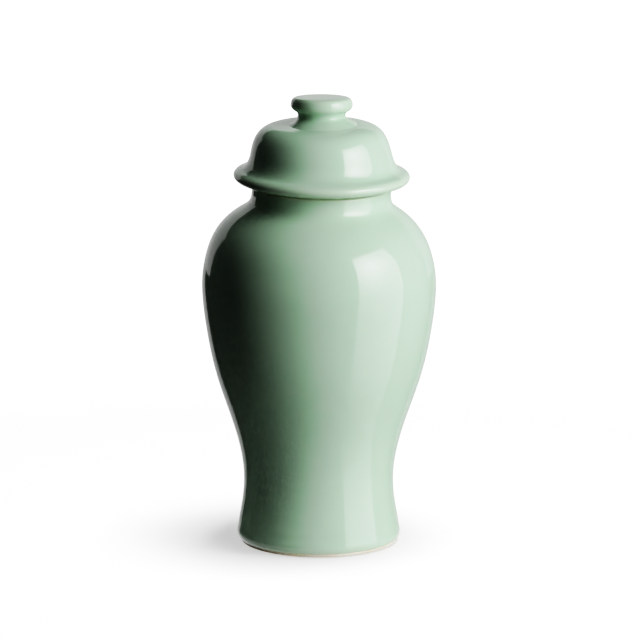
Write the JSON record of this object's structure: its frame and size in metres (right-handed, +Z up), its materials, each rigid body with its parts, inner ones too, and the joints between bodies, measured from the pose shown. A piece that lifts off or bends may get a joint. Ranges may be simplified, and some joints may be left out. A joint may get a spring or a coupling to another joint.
{
  "type": "lidded ginger jar",
  "caption": "Baluster jar in glossy pale celadon glaze with wide shoulders, a drawn-in waist and flared foot, under a loose domed lid with a rolled lip and a flat button knob.",
  "frame": {"origin": "centre of the plane that the foot ring stands on", "axes": "+Z up along the jar's axis of revolution; the jar is round, so +X and +Y are any two directions square to it"},
  "size_m": [0.1794, 0.1794, 0.3454],
  "materials": {
    "celadon_glaze": "glossy pale green celadon glaze, a little paler where it thins over edges",
    "bare_clay": "unglazed fired stoneware, matt, cream to light tan"
  },
  "bodies": {
    "jar": {"jar_body": "celadon_glaze", "foot_ring": "bare_clay"},
    "lid": {"lid_dome": "celadon_glaze", "lid_collar": "bare_clay", "lid_knob": "celadon_glaze"}
  },
  "joints": [
    {"name": "lid_lift", "type": "slide", "parent": "jar", "child": "lid", "axis": [0, 0, 1], "range_m": [0, 0.12]}
  ]
}
